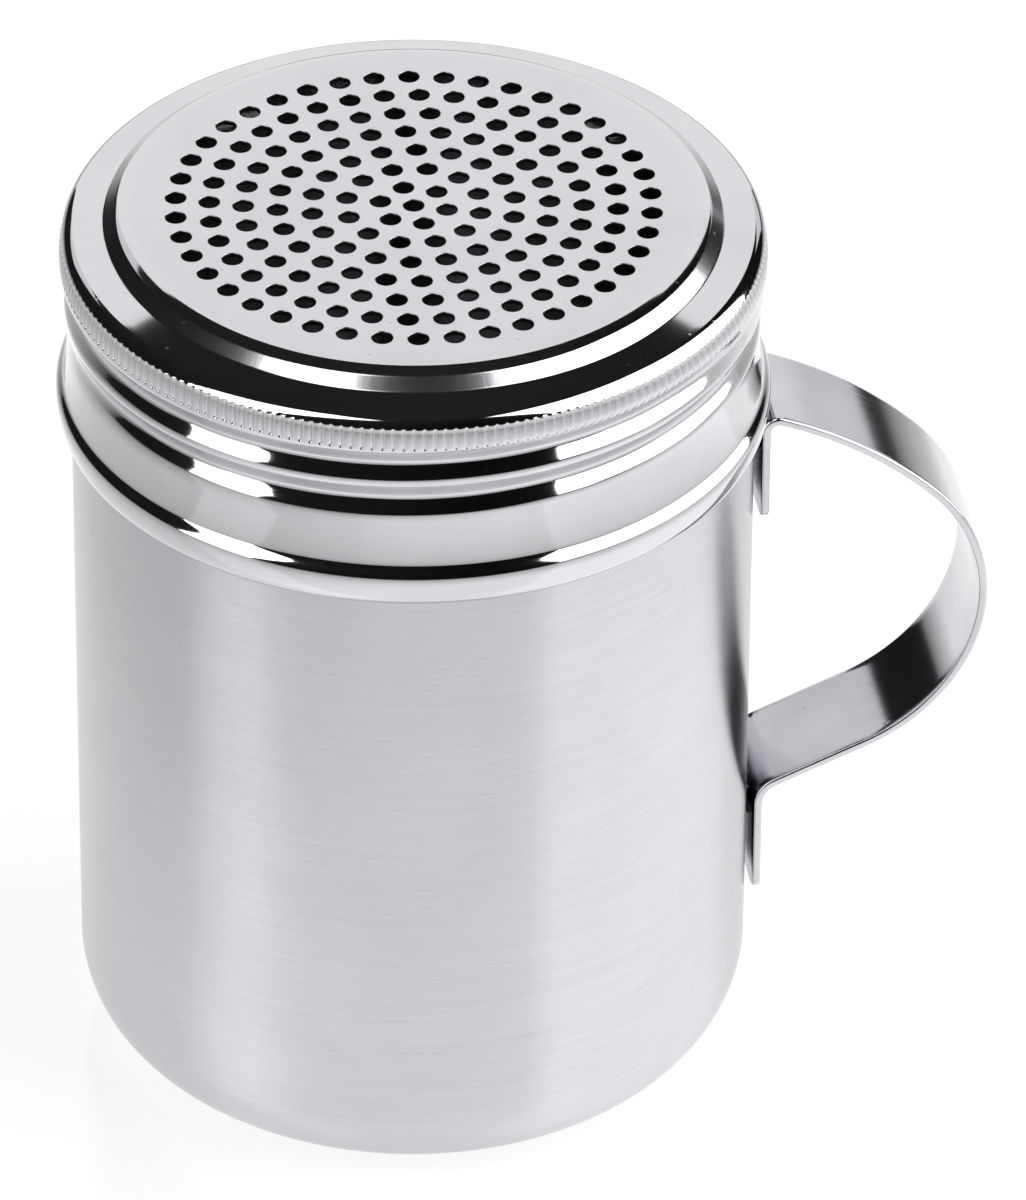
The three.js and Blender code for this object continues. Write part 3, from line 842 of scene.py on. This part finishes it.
def soft_box(name, width, foot, head, level):
    """A rectangular lamp that leans in over the object. Its foot and head are each a bearing, distance and
    height."""
    ends = []
    for bearing, far, height in (foot, head):
        angle = math.radians(bearing + VIEW_TURN)
        ends.append(Vector((far * math.cos(angle), far * math.sin(angle), height)))
    rise = (ends[1] - ends[0]).normalized()
    place = (ends[0] + ends[1]) / 2
    face = place - rise * place.dot(rise)
    face.normalize()
    lamp = bpy.data.lights.new(name, "AREA")
    lamp.shape = "RECTANGLE"
    lamp.size, lamp.size_y = width, (ends[1] - ends[0]).length
    lamp.energy = level * math.pi * lamp.size * lamp.size_y
    holder = bpy.data.objects.new(name, lamp)
    bpy.context.scene.collection.objects.link(holder)
    axes = Matrix((rise.cross(face), rise, face)).transposed().to_4x4()
    holder.matrix_world = Matrix.Translation(place) @ axes
    holder.visible_camera = False
    return holder


soft_box("soft_box_left", 0.374, (-150, 0.9, 0.03), (-128, 0.42, 1.6), LAMP_LEVEL)
soft_box("soft_box_right", 1.38, (-9.5, 0.9, 0.03), (14, 0.6, 1.8), LAMP_LEVEL)

world = bpy.data.worlds.new("white_room")
world.use_nodes = True
world.node_tree.nodes["Background"].inputs["Color"].default_value = (1.0, 1.0, 1.0, 1.0)
world.node_tree.nodes["Background"].inputs["Strength"].default_value = 1.0
bpy.context.scene.world = world
bpy.context.scene.view_settings.view_transform = "Standard"

# The camera: placed and aimed as the photograph was taken, with a long lens.
yaw, pitch, roll = 0.0109, 0.6168, 0.0079
ahead = Vector((math.sin(yaw) * math.cos(pitch), math.cos(yaw) * math.cos(pitch), -math.sin(pitch)))
level_right = Vector((math.cos(yaw), -math.sin(yaw), 0))
level_up = level_right.cross(ahead)
right = math.cos(roll) * level_right + math.sin(roll) * level_up
up = -math.sin(roll) * level_right + math.cos(roll) * level_up
lens = bpy.data.cameras.new("camera")
lens.lens = 386.43
lens.sensor_width = 36.0
lens.sensor_fit = "HORIZONTAL"
lens.clip_start, lens.clip_end = 0.05, 20.0
camera = bpy.data.objects.new("camera", lens)
bpy.context.scene.collection.objects.link(camera)
facing = Matrix((right, up, -ahead)).transposed().to_4x4()
about_axis = Matrix.Rotation(math.radians(VIEW_TURN), 4, "Z")
camera.matrix_world = about_axis @ Matrix.Translation(Vector((0.0002, -0.8918, 0.6806))) @ facing
bpy.context.scene.camera = camera
